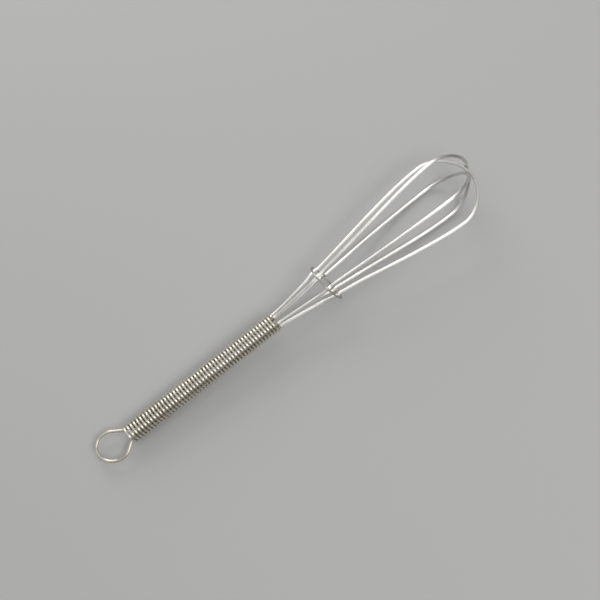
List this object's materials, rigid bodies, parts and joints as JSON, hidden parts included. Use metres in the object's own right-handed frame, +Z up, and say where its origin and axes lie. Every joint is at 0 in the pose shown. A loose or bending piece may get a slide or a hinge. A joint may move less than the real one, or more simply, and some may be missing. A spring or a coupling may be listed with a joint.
{
  "type": "mini whisk",
  "caption": "Small balloon whisk of bare stainless wire: looped strands gripped by an open coil-spring handle, a loose ring at the neck and a teardrop loop at the tail to hang it by.",
  "frame": {"origin": "on the table, under the middle of the whisk's box", "axes": "+X along the whisk from the hanging loop to the balloon's tip, +Y across the level loop, +Z up from the table"},
  "size_m": [0.2034, 0.0334, 0.0288],
  "materials": {
    "coil_steel": "bright drawn wire",
    "balloon_steel": "satin drawn wire",
    "ring_steel": "satin drawn wire"
  },
  "bodies": {
    "root": {"handle_coil": "coil_steel", "balloon_wire_level": "balloon_steel", "balloon_wire_left": "balloon_steel", "balloon_wire_right": "balloon_steel", "neck_ring": "ring_steel", "hang_loop": "balloon_steel"}
  },
  "joints": []
}
